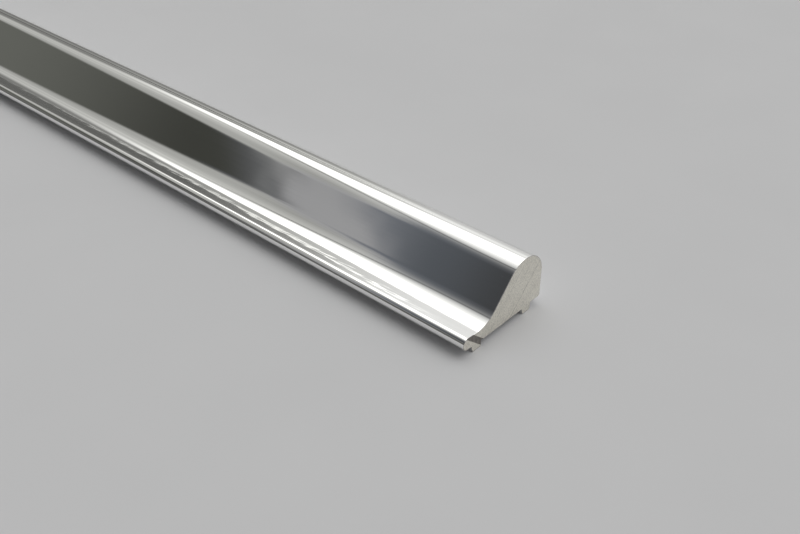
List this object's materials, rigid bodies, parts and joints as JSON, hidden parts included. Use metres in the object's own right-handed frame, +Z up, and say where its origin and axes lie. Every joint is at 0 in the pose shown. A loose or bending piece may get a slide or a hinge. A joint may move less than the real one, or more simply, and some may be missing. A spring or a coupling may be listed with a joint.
{
  "type": "shower water bar",
  "caption": "Solid aluminium threshold bar for a shower opening: rounded crown, sloping ogee face down to a low round nose, upright back and a shallow channel underneath.",
  "frame": {"origin": "on the floor, under the middle of the bar's box", "axes": "+X along the bar, +Y from the low round nose to the upright back face, +Z up from the floor that the two feet stand on"},
  "size_m": [1, 0.0266, 0.015],
  "materials": {
    "polished_aluminium": "bright polished, with fine lines along the length and square sawn ends"
  },
  "bodies": {
    "root": {"water_bar": "polished_aluminium"}
  },
  "joints": []
}
